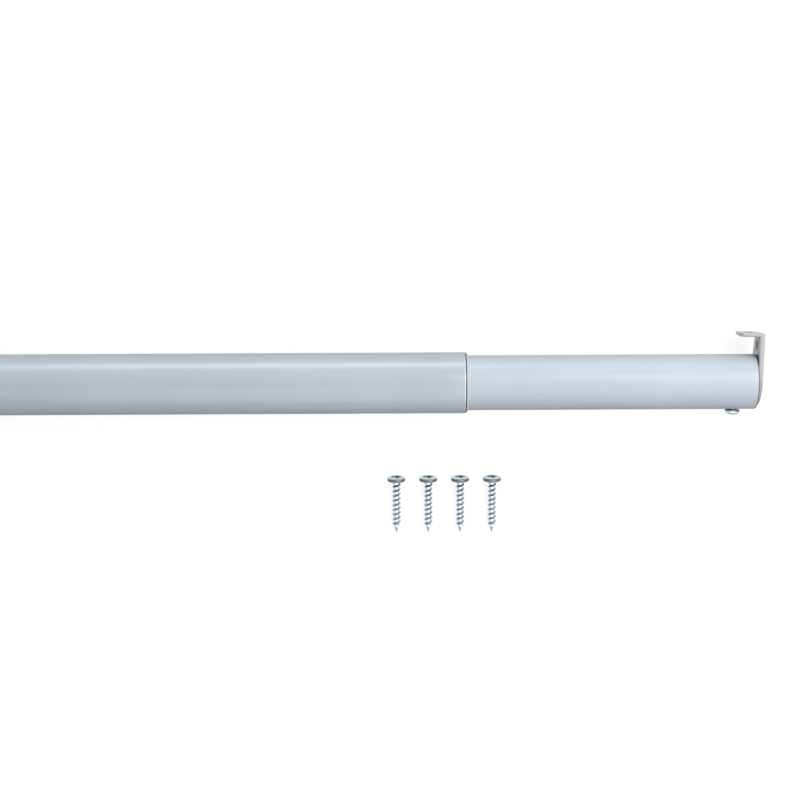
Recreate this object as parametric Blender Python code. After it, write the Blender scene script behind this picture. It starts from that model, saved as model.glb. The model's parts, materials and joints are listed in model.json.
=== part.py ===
"""Adjustable closet rod: two telescoping steel tubes, a bracket in each end
and four loose mounting screws, laid out on a flat surface.

Metres, +Z up. The rod lies along X. Its bracket tabs point to +Y, which is up
once the rod hangs in a closet. The origin is on the rod's axis, on the wall
face of the outer bracket.
"""

import math

import bmesh
import bpy
from mathutils import Matrix, Vector

# Lengths of the rod, from wall face to wall face
CLOSED_LENGTH = 0.4572
EXTENSION = 0.132
CLOSED_EXPOSURE = 0.0184
TAIL_ROOM = 0.0064

# Tubes
INNER_TUBE_OD = 0.028575
TUBE_WALL = 0.00075
RUNNING_GAP = 0.0008375
TUBE_SIDES = 64

# Nylon bush in the mouth and nylon guide on the tail
SLIDE_CLEARANCE = 0.0002
SEAT_GAP = 0.0003
BUSH_LENGTH = 0.015
BUSH_STAND_OFF = 0.0001
BUSH_FLANGE_THICKNESS = 0.0007
BUSH_FLANGE_STEP = 0.0007
GUIDE_LENGTH = 0.012
GUIDE_LIP_THICKNESS = 0.001

# Brackets
PLATE_THICKNESS = 0.0024
DISC_CLEARANCE = 0.00135
END_GAP = 0.0005
TAB_GAP = 0.00945
TAB_THICKNESS = 0.0018
TAB_LENGTH = 0.0129
TAB_WIDTH = 0.0152
TAB_CORNER_RADIUS = 0.002
TAB_OVERBEND = math.radians(2.5)
BEND_RADIUS = 0.0005
EDGE_RADIUS = 0.0003
TONGUE_WIDTH = 0.009
TONGUE_THICKNESS = 0.0024
TONGUE_LENGTH = 0.02
HOLE_CLEARANCE = 0.0002
LEAN_ANGLE = math.radians(4)

# Retaining screws, one through each tube end into the bracket's tongue
RETAINING_INSET = 0.0095
RETAINING_HEAD_GAP = 0.0001
RETAINING_TURN = math.radians(45)
RETAINING_SCREW = {
    "head_diameter": 0.0077,
    "head_height": 0.0027,
    "rim_height": 0.0006,
    "dome_fullness": 0.8,
    "neck_diameter": 0.0032,
    "neck_length": 0.0012,
    "thread_diameter": 0.0038,
    "core_diameter": 0.0028,
    "pitch": 0.0014,
    "length": 0.0078,
    "tip_length": 0.0012,
}

# Loose mounting screws
MOUNTING_SCREW = {
    "head_diameter": 0.0094,
    "head_height": 0.0024,
    "rim_height": 0.0015,
    "dome_fullness": 0.4,
    "neck_diameter": 0.0036,
    "neck_length": 0.0018,
    "thread_diameter": 0.0046,
    "core_diameter": 0.003,
    "pitch": 0.00254,
    "length": 0.02815,
    "tip_length": 0.0046,
}
MOUNTING_SCREW_COUNT = 4
SCREW_ROW_GAP = 0.03525
SCREW_ROW_SHIFT = -0.0112
SCREW_HEAD_GAP = 0.0075
SCREW_TURN = math.radians(20)

# Shares of a screw's own sizes
ROOT_SHARE = 0.5
CREST_SHARE = 0.75
TIP_SHARE = 0.06
NECK_OVERLAP_SHARE = 0.6
RECESS_SPAN_SHARE = 0.6
RECESS_ARM_SHARE = 0.16
RECESS_DEPTH_SHARE = 0.62
RECESS_FLOOR_SPAN_SHARE = 0.5
RECESS_FLOOR_ARM_SHARE = 0.8
RECESS_TOP_SHARE = 1.2

# Facets, and how finely points and angles are told apart
HEAD_SIDES = 24
THREAD_SIDES = 14
DOME_STEPS = 5
DISC_STEPS = 30
HOLE_SIDES = 24
RIM_STEPS = 4
CORNER_STEPS = 4
EDGE_STEPS = 2
SHARP_ANGLE = math.radians(35)
TOLERANCE = 1e-6

# Length of a cutter, in thicknesses of the wall it goes through
CUTTER_SPAN = 4

# Finishes: colour, roughness, metallic
SATIN_SILVER = ((0.50, 0.55, 0.61), 0.38, 0.85)
GREY_PAINT = ((0.52, 0.52, 0.54), 0.45, 0.30)
ZINC = ((0.62, 0.66, 0.70), 0.28, 1.00)
NYLON = ((0.80, 0.80, 0.78), 0.50, 0.00)

# Sizes that follow from the ones above
INNER_RADIUS = INNER_TUBE_OD / 2
INNER_BORE = INNER_RADIUS - TUBE_WALL
OUTER_BORE = INNER_RADIUS + RUNNING_GAP
OUTER_RADIUS = OUTER_BORE + TUBE_WALL
SURFACE_Z = -OUTER_RADIUS * math.cos(math.pi / TUBE_SIDES)
TUBE_INSET = PLATE_THICKNESS + END_GAP
MOUTH_X = CLOSED_LENGTH - TUBE_INSET - CLOSED_EXPOSURE
REST_LENGTH = CLOSED_LENGTH + EXTENSION
INNER_END_X = REST_LENGTH - TUBE_INSET
TAIL_X = PLATE_THICKNESS + TONGUE_LENGTH + TAIL_ROOM + EXTENSION
TAB_HEIGHT = INNER_RADIUS + TAB_GAP + TAB_THICKNESS


def clear_scene():
    """Remove whatever the scene holds."""
    for item in list(bpy.data.objects):
        bpy.data.objects.remove(item, do_unlink=True)


def make_object(name, work):
    """Turn a bmesh into a linked object with its faces pointing out."""
    bmesh.ops.recalc_face_normals(work, faces=work.faces)
    mesh = bpy.data.meshes.new(name)
    work.to_mesh(mesh)
    work.free()
    item = bpy.data.objects.new(name, mesh)
    bpy.context.collection.objects.link(item)
    return item


def make_empty(name, place, parent=None):
    """Add an empty that marks a joint's axis."""
    item = bpy.data.objects.new(name, None)
    item.location = place
    item.parent = parent
    bpy.context.collection.objects.link(item)
    return item


def apply_modifiers(item):
    """Replace an object's mesh by what its modifiers make of it."""
    bpy.context.view_layer.update()
    graph = bpy.context.evaluated_depsgraph_get()
    mesh = bpy.data.meshes.new_from_object(item.evaluated_get(graph))
    item.modifiers.clear()
    item.data = mesh


def combine(item, tool, operation):
    """Join a tool to an object, or cut it out, and delete the tool."""
    change = item.modifiers.new(operation, "BOOLEAN")
    change.operation = operation
    change.solver = "EXACT"
    change.object = tool
    apply_modifiers(item)
    bpy.data.objects.remove(tool, do_unlink=True)


def finish(item, material_name, look):
    """Give an object its own material and smooth its round faces."""
    colour, roughness, metallic = look
    material = bpy.data.materials.new(material_name)
    material.use_nodes = True
    shader = material.node_tree.nodes["Principled BSDF"]
    shader.inputs["Base Color"].default_value = (*colour, 1.0)
    shader.inputs["Roughness"].default_value = roughness
    shader.inputs["Metallic"].default_value = metallic
    item.data.materials.clear()
    item.data.materials.append(material)
    item.data.shade_smooth()
    item.data.set_sharp_from_angle(angle=SHARP_ANGLE)


def arc(centre, radius, start, end, steps):
    """Points of an arc in a plane, angles in degrees."""
    points = []
    for step in range(steps + 1):
        angle = math.radians(start + (end - start) * step / steps)
        points.append((centre[0] + radius * math.cos(angle), centre[1] + radius * math.sin(angle)))
    return points


def lathe_along_x(name, outline):
    """Turn a closed (x, radius) outline about the X axis, with one facet facing down."""
    work = bmesh.new()
    half_step = math.pi / TUBE_SIDES
    outward = Vector((0.0, math.sin(half_step), -math.cos(half_step)))
    corners = [work.verts.new(Vector((x, 0.0, 0.0)) + outward * radius) for x, radius in outline]
    edges = [work.edges.new((corners[i - 1], corners[i])) for i in range(len(corners))]
    bmesh.ops.spin(
        work, geom=corners + edges, cent=(0.0, 0.0, 0.0), axis=(1.0, 0.0, 0.0),
        angle=2 * math.pi, steps=TUBE_SIDES, use_merge=True, use_duplicate=False,
    )
    return make_object(name, work)


def lathe_along_z(name, outline, sides):
    """Turn an open (radius, z) outline, which starts and ends on the axis, about Z."""
    work = bmesh.new()
    corners = [work.verts.new((radius, 0.0, z)) for radius, z in outline]
    edges = [work.edges.new((corners[i], corners[i + 1])) for i in range(len(corners) - 1)]
    bmesh.ops.spin(
        work, geom=corners + edges, cent=(0.0, 0.0, 0.0), axis=(0.0, 0.0, 1.0),
        angle=2 * math.pi, steps=sides, use_merge=True, use_duplicate=False,
    )
    bmesh.ops.remove_doubles(work, verts=work.verts, dist=TOLERANCE)
    return make_object(name, work)


def prism(name, outline, start, push):
    """Extrude a closed flat outline, given as points, along one direction."""
    work = bmesh.new()
    corners = [work.verts.new(Vector(point) + Vector(start)) for point in outline]
    face = work.faces.new(corners)
    grown = bmesh.ops.extrude_face_region(work, geom=[face])
    moved = [part for part in grown["geom"] if isinstance(part, bmesh.types.BMVert)]
    bmesh.ops.translate(work, verts=moved, vec=Vector(push))
    return make_object(name, work)


def edges_where(work, test):
    """Edges whose both ends pass a test."""
    return [edge for edge in work.edges if all(test(vert.co) for vert in edge.verts)]


# Tubes


def tube_outline(start_x, end_x, radius):
    """Outline of a tube wall whose two ends are fully rounded."""
    middle = radius - TUBE_WALL / 2
    half = TUBE_WALL / 2
    far_end = arc((end_x - half, middle), half, 90, -90, RIM_STEPS)
    near_end = arc((start_x + half, middle), half, -90, -270, RIM_STEPS)
    return far_end + near_end


def screw_slot(tube_radius, end_x, inward):
    """Slot under a tube end that lets the retaining screw swing with its bracket."""
    radius = RETAINING_SCREW["thread_diameter"] / 2 + SEAT_GAP
    reach = RETAINING_INSET + (2 * tube_radius) * math.sin(LEAN_ANGLE)
    sides = sorted((end_x + inward * RETAINING_INSET, end_x + inward * reach))
    outline = arc((sides[1], 0.0), radius, -90, 90, HOLE_SIDES // 2)
    outline += arc((sides[0], 0.0), radius, 90, 270, HOLE_SIDES // 2)
    points = [(x, 0.0, z) for x, z in outline]
    push = Vector((0.0, CUTTER_SPAN * TUBE_WALL, 0.0))
    return prism("slot", points, Vector((0.0, -tube_radius, 0.0)) - push / 2, push)


def make_outer_tube():
    tube = lathe_along_x("outer_tube", tube_outline(TUBE_INSET, MOUTH_X, OUTER_RADIUS))
    combine(tube, screw_slot(OUTER_RADIUS, TUBE_INSET, 1), "DIFFERENCE")
    finish(tube, "outer_tube_paint", SATIN_SILVER)
    return tube


def make_inner_tube(parent):
    tube = lathe_along_x("inner_tube", tube_outline(TAIL_X, INNER_END_X, INNER_RADIUS))
    combine(tube, screw_slot(INNER_RADIUS, INNER_END_X, -1), "DIFFERENCE")
    finish(tube, "inner_tube_paint", SATIN_SILVER)
    tube.parent = parent
    return tube


# Nylon pieces


def make_mouth_bush():
    """Liner between the tubes, with a flange just in front of the rounded rim."""
    inside = INNER_RADIUS + SLIDE_CLEARANCE
    sleeve = OUTER_BORE - SLIDE_CLEARANCE
    flange = OUTER_RADIUS - BUSH_FLANGE_STEP
    back = MOUTH_X + BUSH_STAND_OFF
    front = back + BUSH_FLANGE_THICKNESS
    start = MOUTH_X - BUSH_LENGTH
    outline = [
        (start, inside), (front, inside), (front, flange),
        (back, flange), (back, sleeve), (start, sleeve),
    ]
    bush = lathe_along_x("mouth_bush", outline)
    finish(bush, "mouth_bush_nylon", NYLON)
    return bush


def make_tail_guide(parent):
    """Ring over the inner tube's tail, with a lip behind the tube's end."""
    inside = INNER_RADIUS + SLIDE_CLEARANCE
    outside = OUTER_BORE - SLIDE_CLEARANCE
    lip_back = TAIL_X - SEAT_GAP - GUIDE_LIP_THICKNESS
    lip_front = TAIL_X - SEAT_GAP
    end = TAIL_X + GUIDE_LENGTH
    outline = [
        (lip_back, INNER_BORE), (lip_front, INNER_BORE), (lip_front, inside),
        (end, inside), (end, outside), (lip_back, outside),
    ]
    guide = lathe_along_x("tail_guide", outline)
    finish(guide, "tail_guide_nylon", NYLON)
    guide.parent = parent
    return guide


# Screws: axis along Z, seat of the head at zero, tip below


def screw_head(size):
    """Pan head with its plain neck."""
    radius = size["head_diameter"] / 2
    rim = size["rim_height"]
    crown = size["head_height"] - rim
    outline = [(0.0, size["head_height"])]
    for step in range(1, DOME_STEPS + 1):
        angle = math.pi / 2 * step / DOME_STEPS
        height = rim + crown * max(0.0, math.cos(angle)) ** size["dome_fullness"]
        outline.append((radius * math.sin(angle), height))
    outline += [(radius, 0.0), (size["neck_diameter"] / 2, 0.0)]
    outline += [(size["neck_diameter"] / 2, -size["neck_length"]), (0.0, -size["neck_length"])]
    return lathe_along_z("screw", outline, HEAD_SIDES)


def taper_to_tip(work, size):
    """Draw the lower end of a thread in to a gimlet point."""
    for vert in work.verts:
        share = (vert.co.z + size["length"]) / size["tip_length"]
        share = min(1.0, max(TIP_SHARE, share))
        vert.co.x *= share
        vert.co.y *= share


def trim(work, height, direction):
    """Cut everything past a level plane away and close the cut."""
    everything = work.verts[:] + work.edges[:] + work.faces[:]
    bmesh.ops.bisect_plane(
        work, geom=everything, dist=TOLERANCE, plane_co=(0.0, 0.0, height),
        plane_no=(0.0, 0.0, direction), clear_outer=True,
    )
    cut = edges_where(work, lambda co: abs(co.z - height) < TOLERANCE)
    rim = [edge for edge in cut if edge.is_boundary]
    bmesh.ops.holes_fill(work, edges=rim, sides=0)


def screw_thread(size):
    """Right-hand thread: one pitch of its outline swept up a helix."""
    pitch = size["pitch"]
    core = size["core_diameter"] / 2
    crest = size["thread_diameter"] / 2
    turns = math.ceil(size["length"] / pitch) + 2
    bottom = -size["length"] - pitch
    outline = [(core, 0.0), (core, ROOT_SHARE), (crest, CREST_SHARE), (core, 1.0)]
    work = bmesh.new()
    corners = [work.verts.new((radius, 0.0, bottom + share * pitch)) for radius, share in outline]
    edges = [work.edges.new((corners[i], corners[i + 1])) for i in range(len(corners) - 1)]
    bmesh.ops.spin(
        work, geom=corners + edges, cent=(0.0, 0.0, 0.0), axis=(0.0, 0.0, 1.0),
        dvec=(0.0, 0.0, pitch / THREAD_SIDES), angle=2 * math.pi * turns,
        steps=THREAD_SIDES * turns, use_merge=False, use_duplicate=False,
    )
    bmesh.ops.remove_doubles(work, verts=work.verts, dist=TOLERANCE)
    taper_to_tip(work, size)
    trim(work, -size["length"], -1.0)
    trim(work, -size["neck_length"] * NECK_OVERLAP_SHARE, 1.0)
    return make_object("thread", work)


def cross_points(span, arm, height):
    """Outline of a plus sign."""
    quarter = [(span, -arm), (span, arm), (arm, arm)]
    points = []
    for turn in range(4):
        spin = Matrix.Rotation(math.pi / 2 * turn, 3, "Z")
        points += [spin @ Vector((x, y, height)) for x, y in quarter]
    return points


def cross_recess(size):
    """Tapered cross cutter for the driver."""
    span = size["head_diameter"] / 2 * RECESS_SPAN_SHARE
    arm = size["head_diameter"] / 2 * RECESS_ARM_SHARE
    floor_span = span * RECESS_FLOOR_SPAN_SHARE
    floor_arm = arm * RECESS_FLOOR_ARM_SHARE
    top = size["head_height"] * RECESS_TOP_SHARE
    floor = size["head_height"] * (1.0 - RECESS_DEPTH_SHARE)
    work = bmesh.new()
    upper = [work.verts.new(point) for point in cross_points(span, arm, top)]
    lower = [work.verts.new(point) for point in cross_points(floor_span, floor_arm, floor)]
    work.faces.new(upper)
    work.faces.new(list(reversed(lower)))
    for i in range(len(upper)):
        work.faces.new((upper[i - 1], lower[i - 1], lower[i], upper[i]))
    return make_object("recess", work)


def make_screw(name, size, material_name):
    screw = screw_head(size)
    combine(screw, screw_thread(size), "UNION")
    combine(screw, cross_recess(size), "DIFFERENCE")
    screw.name = name
    finish(screw, material_name, ZINC)
    return screw


def lay_screws_down():
    """Row of loose screws, each resting on its head's rim and its last full thread."""
    size = MOUNTING_SCREW
    drop = (size["head_diameter"] - size["thread_diameter"]) / 2
    span = size["length"] - size["tip_length"]
    tilt = math.asin(drop / span)
    spacing = size["head_diameter"] + SCREW_HEAD_GAP
    first_x = MOUTH_X + SCREW_ROW_SHIFT - spacing * (MOUNTING_SCREW_COUNT - 1) / 2
    head_y = -OUTER_RADIUS - SCREW_ROW_GAP - size["head_height"]
    head_z = SURFACE_Z + size["head_diameter"] / 2 * math.cos(tilt)
    pattern = make_screw("mounting_screw_1", size, "mounting_screw_zinc")
    for index in range(MOUNTING_SCREW_COUNT):
        screw = pattern
        if index:
            screw = bpy.data.objects.new("mounting_screw_%d" % (index + 1), pattern.data)
            bpy.context.collection.objects.link(screw)
        screw.location = (first_x + index * spacing, head_y, head_z)
        screw.rotation_mode = "ZYX"
        screw.rotation_euler = (tilt - math.pi / 2, 0.0, SCREW_TURN)


# Brackets: wall face at x = 0, the tube towards +x, the tab towards +y


def teardrop(disc_radius):
    """Outline of the wall plate: a disc drawn up to the width of the tab, as (y, z) points."""
    half = TAB_WIDTH / 2
    reach = math.hypot(TAB_HEIGHT, half)
    corner = math.degrees(math.atan2(half, TAB_HEIGHT))
    touch = corner + math.degrees(math.acos(disc_radius / reach))
    disc = arc((0.0, 0.0), disc_radius, touch, 360 - touch, DISC_STEPS)
    return [(TAB_HEIGHT, half)] + disc + [(TAB_HEIGHT, -half)]


def round_edges(work, edges, radius, steps):
    bmesh.ops.bevel(work, geom=edges, offset=radius, segments=steps, profile=0.5, affect="EDGES")


def droop_tab(work):
    """Bend the tab a little past square, towards the tube."""
    slope = math.tan(TAB_OVERBEND)
    for vert in work.verts:
        vert.co.y -= max(0.0, vert.co.x - PLATE_THICKNESS) * slope


def plate_and_tab(disc_radius):
    """Wall plate with the tab pushed out of its top."""
    work = bmesh.new()
    corners = [work.verts.new((0.0, y, z)) for y, z in teardrop(disc_radius)]
    face = work.faces.new(corners)
    grown = bmesh.ops.extrude_face_region(work, geom=[face])
    moved = [part for part in grown["geom"] if isinstance(part, bmesh.types.BMVert)]
    bmesh.ops.translate(work, verts=moved, vec=(PLATE_THICKNESS, 0.0, 0.0))
    under_tab = TAB_HEIGHT - TAB_THICKNESS
    inner_face = max(work.faces, key=lambda face: face.calc_center_median().x)
    bmesh.ops.bisect_plane(
        work, geom=[inner_face, *inner_face.edges, *inner_face.verts], dist=TOLERANCE,
        plane_co=(0.0, under_tab, 0.0), plane_no=(0.0, 1.0, 0.0),
    )
    above = [face for face in work.faces if min(vert.co.y for vert in face.verts) > under_tab - TOLERANCE]
    root = [face for face in above if min(vert.co.x for vert in face.verts) > PLATE_THICKNESS / 2]
    grown = bmesh.ops.extrude_face_region(work, geom=root)
    moved = [part for part in grown["geom"] if isinstance(part, bmesh.types.BMVert)]
    bmesh.ops.translate(work, verts=moved, vec=(TAB_LENGTH - PLATE_THICKNESS, 0.0, 0.0))
    bmesh.ops.delete(work, geom=[face for face in root if face.is_valid], context="FACES_ONLY")
    at_tip = edges_where(work, lambda co: co.x > TAB_LENGTH - TOLERANCE)
    corners = [edge for edge in at_tip if edge.verts[0].co.z * edge.verts[1].co.z > 0]
    round_edges(work, corners, TAB_CORNER_RADIUS, CORNER_STEPS)
    bend = edges_where(work, lambda co: co.x < TOLERANCE and co.y > TAB_HEIGHT - TOLERANCE)
    round_edges(work, bend, BEND_RADIUS, CORNER_STEPS)
    droop_tab(work)
    return make_object("plate", work)


def hole_cutter(diameter, centre, axis, wall):
    """Round cutter centred on a point, along the X or the Y axis."""
    circle = arc((0.0, 0.0), diameter / 2, 0, 360 - 360 / HOLE_SIDES, HOLE_SIDES - 1)
    length = CUTTER_SPAN * wall
    if axis == "X":
        points = [(0.0, a, b) for a, b in circle]
        push = Vector((length, 0.0, 0.0))
    else:
        points = [(a, 0.0, b) for a, b in circle]
        push = Vector((0.0, length, 0.0))
    return prism("hole", points, Vector(centre) - push / 2, push)


def tongue_floor(bore):
    """Distance from the axis to the tongue's outer face, seated in a bore."""
    return math.sqrt(bore ** 2 - (TONGUE_WIDTH / 2) ** 2) - SEAT_GAP


def tongue(bore):
    """Tongue that reaches into the tube, rooted in the plate."""
    floor = -tongue_floor(bore)
    start = PLATE_THICKNESS / 2
    length = PLATE_THICKNESS + TONGUE_LENGTH - start
    half = TONGUE_WIDTH / 2
    top = floor + TONGUE_THICKNESS
    outline = [(0.0, floor, -half), (0.0, floor, half), (0.0, top, half), (0.0, top, -half)]
    return prism("tongue", outline, (start, 0.0, 0.0), (length, 0.0, 0.0))


def drill_holes(bracket, tube_radius):
    """Wall hole in the plate, shelf hole in the tab and screw hole in the tongue."""
    wide = MOUNTING_SCREW["thread_diameter"] + 2 * HOLE_CLEARANCE
    narrow = RETAINING_SCREW["thread_diameter"] + 2 * SEAT_GAP
    under_tab = TAB_HEIGHT - TAB_THICKNESS
    in_plate = (PLATE_THICKNESS / 2, (tube_radius + under_tab) / 2, 0.0)
    in_tab = ((PLATE_THICKNESS + TAB_LENGTH) / 2, TAB_HEIGHT, 0.0)
    in_tongue = (TUBE_INSET + RETAINING_INSET, -tongue_floor(tube_radius - TUBE_WALL), 0.0)
    combine(bracket, hole_cutter(wide, in_plate, "X", PLATE_THICKNESS), "DIFFERENCE")
    combine(bracket, hole_cutter(wide, in_tab, "Y", TAB_THICKNESS), "DIFFERENCE")
    combine(bracket, hole_cutter(narrow, in_tongue, "Y", TONGUE_THICKNESS), "DIFFERENCE")


def make_bracket(name, tube_radius):
    """Bracket for one tube: plate, tab and tongue, with its three holes."""
    bore = tube_radius - TUBE_WALL
    bracket = plate_and_tab(bore - DISC_CLEARANCE)
    rounding = bracket.modifiers.new("edges", "BEVEL")
    rounding.width = EDGE_RADIUS
    rounding.segments = EDGE_STEPS
    rounding.limit_method = "ANGLE"
    rounding.angle_limit = SHARP_ANGLE
    apply_modifiers(bracket)
    combine(bracket, tongue(bore), "UNION")
    drill_holes(bracket, tube_radius)
    bracket.name = name
    finish(bracket, name + "_paint", GREY_PAINT)
    return bracket


def make_retaining_screw(name, tube_radius):
    """Screw backed off far enough for its bracket to lean."""
    swing = END_GAP + RETAINING_INSET + RETAINING_SCREW["head_diameter"] / 2
    seat = tube_radius + swing * math.sin(LEAN_ANGLE) + RETAINING_HEAD_GAP
    screw = make_screw(name, RETAINING_SCREW, name + "_zinc")
    screw.location = (TUBE_INSET + RETAINING_INSET, -seat, 0.0)
    screw.rotation_mode = "ZYX"
    screw.rotation_euler = (math.pi / 2, 0.0, RETAINING_TURN)
    return screw


def fit_bracket(prefix, tube_radius, pivot):
    """Bracket and retaining screw hung on the empty that marks their rocking axis."""
    local_pivot = Vector((PLATE_THICKNESS, tube_radius - TUBE_WALL / 2, 0.0))
    bracket = make_bracket(prefix + "_bracket", tube_radius)
    screw = make_retaining_screw(prefix + "_bracket_screw", tube_radius)
    for item in (bracket, screw):
        item.location -= local_pivot
        item.parent = pivot


def main():
    clear_scene()
    make_outer_tube()
    make_mouth_bush()
    outer_pivot = make_empty("outer_bracket_pivot", (PLATE_THICKNESS, OUTER_RADIUS - TUBE_WALL / 2, 0.0))
    fit_bracket("outer", OUTER_RADIUS, outer_pivot)
    rod_axis = make_empty("rod_axis", (0.0, 0.0, 0.0))
    make_tail_guide(rod_axis)
    make_inner_tube(rod_axis)
    inner_pivot_place = (REST_LENGTH - PLATE_THICKNESS, INNER_RADIUS - TUBE_WALL / 2, 0.0)
    inner_pivot = make_empty("inner_bracket_pivot", inner_pivot_place, rod_axis)
    inner_pivot.rotation_euler = (0.0, math.pi, -LEAN_ANGLE)
    fit_bracket("inner", INNER_RADIUS, inner_pivot)
    lay_screws_down()


main()
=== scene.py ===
"""Looks of the adjustable closet rod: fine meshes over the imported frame, procedural
finishes, soft studio light and a camera at the photograph's angle. Metres, +Z up.
"""

import json
import math

import bmesh
import bpy
from mathutils import Matrix, Vector


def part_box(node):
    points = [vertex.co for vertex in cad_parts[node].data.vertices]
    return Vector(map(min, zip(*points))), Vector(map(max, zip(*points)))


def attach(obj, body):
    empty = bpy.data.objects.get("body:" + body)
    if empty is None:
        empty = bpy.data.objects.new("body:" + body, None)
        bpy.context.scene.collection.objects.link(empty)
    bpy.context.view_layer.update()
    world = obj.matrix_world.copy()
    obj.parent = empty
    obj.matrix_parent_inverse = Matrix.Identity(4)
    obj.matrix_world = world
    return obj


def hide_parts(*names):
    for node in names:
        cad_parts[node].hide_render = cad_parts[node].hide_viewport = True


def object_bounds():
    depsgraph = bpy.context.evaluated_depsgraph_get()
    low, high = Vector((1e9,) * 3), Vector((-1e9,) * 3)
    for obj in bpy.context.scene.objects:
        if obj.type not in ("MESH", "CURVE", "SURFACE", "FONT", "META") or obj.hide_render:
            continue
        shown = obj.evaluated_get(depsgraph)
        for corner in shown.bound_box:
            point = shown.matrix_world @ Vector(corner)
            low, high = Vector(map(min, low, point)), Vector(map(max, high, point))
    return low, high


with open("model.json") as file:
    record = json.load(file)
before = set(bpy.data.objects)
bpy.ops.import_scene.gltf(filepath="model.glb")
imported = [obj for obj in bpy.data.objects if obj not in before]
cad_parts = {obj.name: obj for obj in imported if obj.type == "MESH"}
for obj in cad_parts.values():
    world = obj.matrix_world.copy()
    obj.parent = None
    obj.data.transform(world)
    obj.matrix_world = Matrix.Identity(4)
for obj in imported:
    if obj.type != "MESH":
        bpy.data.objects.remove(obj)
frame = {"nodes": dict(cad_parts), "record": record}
CAD_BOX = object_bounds()
BODIES = frame["record"]["behaviour"]["bodies"]
MOUNTS = {mount["name"]: mount for mount in frame["record"]["mounts"]}

# Tubes and the bush between them
TUBE_WALL = 0.00075
RUNNING_GAP = 0.0008375
SLIDE_CLEARANCE = 0.0002
SEAT_GAP = 0.0003
BUSH_FLANGE_THICKNESS = 0.0007
BUSH_EDGE_RADIUS = 0.00018
RIM_LENGTH = 0.0008
SLOT_CUTTER_DEPTH = 4 * TUBE_WALL

# Brackets
PLATE_THICKNESS = 0.0024
DISC_CLEARANCE = 0.00135
END_GAP = 0.0005
TAB_GAP = 0.00945
TAB_THICKNESS = 0.0018
TAB_LENGTH = 0.0129
TAB_WIDTH = 0.0152
TAB_CORNER_RADIUS = 0.002
TAB_ROLL_RADIUS = 0.0008
TAB_OVERBEND = math.radians(2.5)
BEND_RADIUS = 0.0005
EDGE_RADIUS = 0.0003
TONGUE_WIDTH = 0.009
TONGUE_THICKNESS = 0.0024
TONGUE_LENGTH = 0.02
HOLE_CLEARANCE = 0.0002
HOLE_CHAMFER = 0.0002
HOLE_MARGIN = 0.0005
LEAN_ANGLE = math.radians(4)

# Retaining screws, one through each tube end into the bracket's tongue; the shares where shade is painted on
# the rim and crown are of the head's sizes
RETAINING_INSET = 0.0095
RETAINING_HEAD_GAP = 0.0001
RETAINING_TURN = math.radians(45)
RETAINING_SCREW = {
    "head_diameter": 0.0077,
    "head_height": 0.0027,
    "rim_height": 0.0006,
    "dome_fullness": 0.8,
    "shade_and_dull_rim": (0.99, 1.0),
    "shade_and_dull_crown": (0.50, 0.80),
    "neck_diameter": 0.0032,
    "neck_length": 0.0012,
    "thread_diameter": 0.0038,
    "core_diameter": 0.0028,
    "pitch": 0.0014,
    "length": 0.0078,
    "tip_length": 0.0012,
}

# Loose mounting screws
MOUNTING_SCREW = {
    "head_diameter": 0.0094,
    "head_height": 0.0024,
    "rim_height": 0.0009,
    "dome_fullness": 0.55,
    "shade_and_dull_rim": (0.90, 0.99),
    "shade_and_dull_crown": (0.90, 1.0),
    "neck_diameter": 0.0036,
    "neck_length": 0.0018,
    "thread_diameter": 0.0046,
    "core_diameter": 0.003,
    "pitch": 0.00254,
    "length": 0.02815,
    "tip_length": 0.0046,
}
MOUNTING_SCREW_COUNT = 4
SCREW_TURN = math.radians(20)

# Shares of a screw's own sizes; a thread's outline is in shares of its height and its pitch
THREAD_OUTLINE = (
    (0.0, 0.0), (0.0, 0.45), (0.14, 0.55), (0.94, 0.725), (1.0, 0.75), (0.94, 0.775), (0.14, 0.95),
)
THREAD_PHASE = 0.37
SPARE_TURNS = 3
TIP_SHARE = 0.06
NECK_OVERLAP_SHARE = 0.6
RIM_ROUND_SHARE = 0.35
RECESS_SPAN_SHARE = 0.68
RECESS_ARM_SHARE = 0.16
RECESS_DEPTH_SHARE = 0.62
RECESS_FLOOR_SPAN_SHARE = 0.5
RECESS_FLOOR_ARM_SHARE = 0.8
RECESS_TOP_SHARE = 1.2

# Fineness of the meshes
TUBE_SIDES = 192
WALL_STEPS = 24
RIM_STEPS = 8
HEAD_SIDES = 72
THREAD_SIDES = 48
DOME_STEPS = 14
DISC_STEPS = 96
HOLE_SIDES = 64
CORNER_STEPS = 10
EDGE_STEPS = 4
ROUND_PROFILE = 0.5
SHARP_ANGLE = math.radians(35)
TOLERANCE = 1e-6

# Tube paint: linear colours, and stretches as two distances from a tube's end; the cut colour is painted
# shade on the last of each end
TUBE_FINISHES = {
    "outer_tube": {
        "dark": (0.48, 0.54, 0.60),
        "light": (0.54, 0.60, 0.66),
        "coat": 0.10,
        "metallic": 0.10,
        "worn_stretch": (0.0012, 0.0009),
        "worn_metallic": 0.6,
        # cut: painted shade at the end of the rolled rim
        "cut": (0.04, 0.045, 0.05),
    },
    "inner_tube": {
        "dark": (0.54, 0.605, 0.675),
        "light": (0.61, 0.675, 0.745),
        "coat": 0.012,
        "metallic": 0.10,
        "worn_stretch": (0.0028, 0.0012),
        "worn_metallic": 0.25,
        # cut: painted shade at the end of the rolled rim
        "cut": (0.12, 0.13, 0.14),
    },
}
TUBE_SOCKETS = {
    "Coat Roughness": 0.16,
    "Coat IOR": 3.0,
    "Specular IOR Level": 0.0,
    "Specular Tint": (0.15, 0.17, 0.19, 1.0),
}
WORN_RIM = (0.51, 0.545, 0.59)
# Stretch of the painted shade at each tube end
END_SHADE_STRETCH = (0.0006, 0.0004)
TUBE_ROUGHNESS = (0.42, 0.50)
STREAK_SHARE = 0.4
TUBE_GRAIN_SHARE = 0.2

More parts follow.
